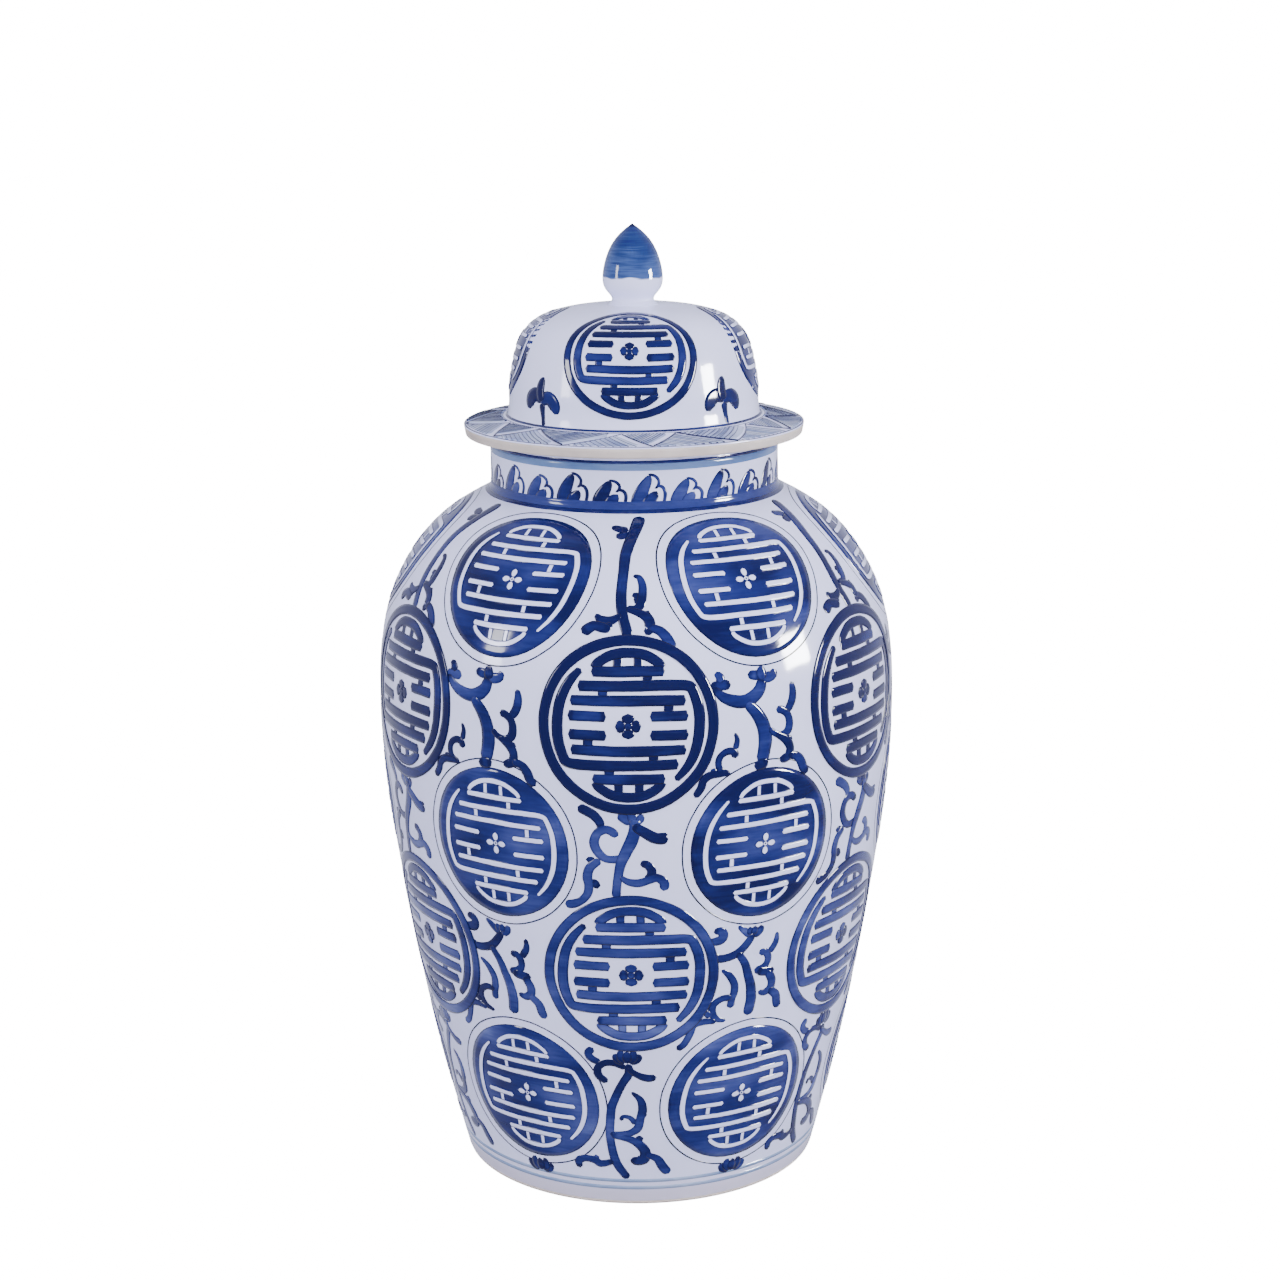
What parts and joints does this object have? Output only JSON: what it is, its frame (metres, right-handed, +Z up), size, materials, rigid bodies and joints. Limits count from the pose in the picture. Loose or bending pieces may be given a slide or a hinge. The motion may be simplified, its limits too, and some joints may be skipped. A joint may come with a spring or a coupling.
{
  "type": "ginger jar",
  "caption": "Tall lidded porcelain storage jar with a round shoulder, short neck and a lift-off domed, flanged lid with a bud finial.",
  "frame": {"origin": "middle of the foot, on the surface that the jar stands on", "axes": "+Z up along the axis that the jar was thrown on; the painting's front faces -Y"},
  "size_m": [0.29, 0.29, 0.533],
  "materials": {
    "glazed_porcelain": "glossy clear glaze over cobalt blue brushwork on white porcelain",
    "bare_clay": "unglazed fired porcelain clay, matt and slightly gritty"
  },
  "bodies": {
    "jar": {"base": "bare_clay", "lower_body": "glazed_porcelain", "upper_body": "glazed_porcelain", "neck_collar": "glazed_porcelain"},
    "lid": {"lid_cover": "glazed_porcelain", "lid_locating_ring": "bare_clay", "finial": "glazed_porcelain"}
  },
  "joints": [
    {"name": "lid_lift", "type": "slide", "parent": "jar", "child": "lid", "axis": [0, 0, 1], "range_m": [0, 0.2]}
  ]
}
